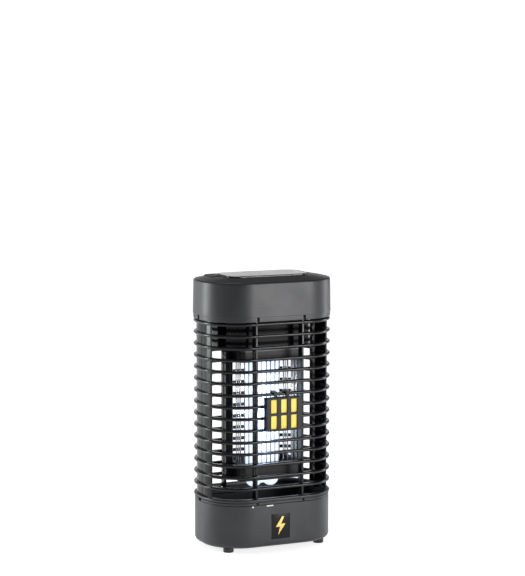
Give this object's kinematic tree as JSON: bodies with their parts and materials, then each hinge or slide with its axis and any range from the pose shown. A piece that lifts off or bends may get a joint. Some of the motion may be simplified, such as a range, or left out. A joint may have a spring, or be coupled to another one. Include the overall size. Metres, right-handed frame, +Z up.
{
  "type": "electric bug zapper",
  "caption": "Upright electric insect killer with a rounded cap, ringed guard, vertical grid wires round a lamp, a clip-on lure and a lift-off tray.",
  "frame": {"origin": "centre of the footprint on the floor it stands on", "axes": "+Z up, -Y towards the front with the badge and lure, +X to the right seen from the front"},
  "size_m": [0.1462, 0.1126, 0.288],
  "materials": {
    "cover_black": "fine satin grain",
    "handle_black": "satin",
    "cage_black": "satin moulded",
    "tray_black": "fine satin grain",
    "housing_gloss": "glossy moulded",
    "insulator": "smooth satin",
    "rubber_foot": "matt rubber",
    "inlet_black": "matt flexible plastic",
    "steel_screw": "zinc plated",
    "grid_wire": "drawn wire",
    "bus_brass": "dull tinned strip",
    "lamp_pin_brass": "turned pin",
    "board_green": "lacquered laminate",
    "winding": "varnished core and winding",
    "choke_grey": "varnished",
    "capacitor_amber": "dipped",
    "lead_red": "insulated lead",
    "lead_blue": "insulated lead",
    "socket_white": "heat-resistant moulding",
    "lamp_cap_white": "smooth",
    "lamp_glass": "phosphor-coated tube, lit",
    "mark_white": "inlaid mark",
    "badge_black": "gloss",
    "badge_gold": "foil",
    "lure_frame": "satin moulded",
    "lure_yellow": "soaked attractant pad"
  },
  "bodies": {
    "housing": {"top_cover": "cover_black", "handle_pins": "steel_screw", "cord_inlet_bush": "inlet_black", "chassis_pan": "housing_gloss", "chassis_screws": "steel_screw", "circuit_board": "board_green", "board_screws": "steel_screw", "hv_transformer": "winding", "ballast_choke": "choke_grey", "capacitors": "capacitor_amber", "lamp_holder": "socket_white", "guard_rings": "cage_black", "guard_ribs": "cage_black", "end_walls": "housing_gloss", "guard_rim": "tray_black", "post_left": "insulator", "post_right": "insulator", "post_screws": "steel_screw", "upper_grid_frame": "insulator", "lower_grid_frame": "insulator", "frame_screws": "steel_screw", "live_wires": "grid_wire", "return_wires": "grid_wire", "live_bus": "bus_brass", "return_bus": "bus_brass", "live_lead": "lead_red", "return_lead": "lead_blue"},
    "handle": {"carry_handle": "handle_black"},
    "lamp": {"lamp_cap": "lamp_cap_white", "lamp_pins": "lamp_pin_brass", "lamp_tubes": "lamp_glass"},
    "tray": {"collection_tray": "tray_black", "tray_feet": "rubber_foot", "badge_plate": "badge_black", "badge_emblem": "badge_gold", "seam_marks": "mark_white"},
    "lure": {"lure_case": "lure_frame", "lure_pad": "lure_yellow", "lure_back": "lure_frame"}
  },
  "joints": [
    {"name": "handle_fold", "type": "hinge", "parent": "housing", "child": "handle", "pos_m": [0, 0, 0.2837], "axis": [1, 0, 0], "range_deg": [0, 90]},
    {"name": "tray_release", "type": "slide", "parent": "housing", "child": "tray", "axis": [0, 0, -1], "range_m": [0, 0.03]},
    {"name": "lamp_pull", "type": "slide", "parent": "housing", "child": "lamp", "axis": [0, 0, -1], "range_m": [0, 0.018]},
    {"name": "lure_lift", "type": "slide", "parent": "housing", "child": "lure", "axis": [0, 0, 1], "range_m": [0, 0.007]}
  ]
}
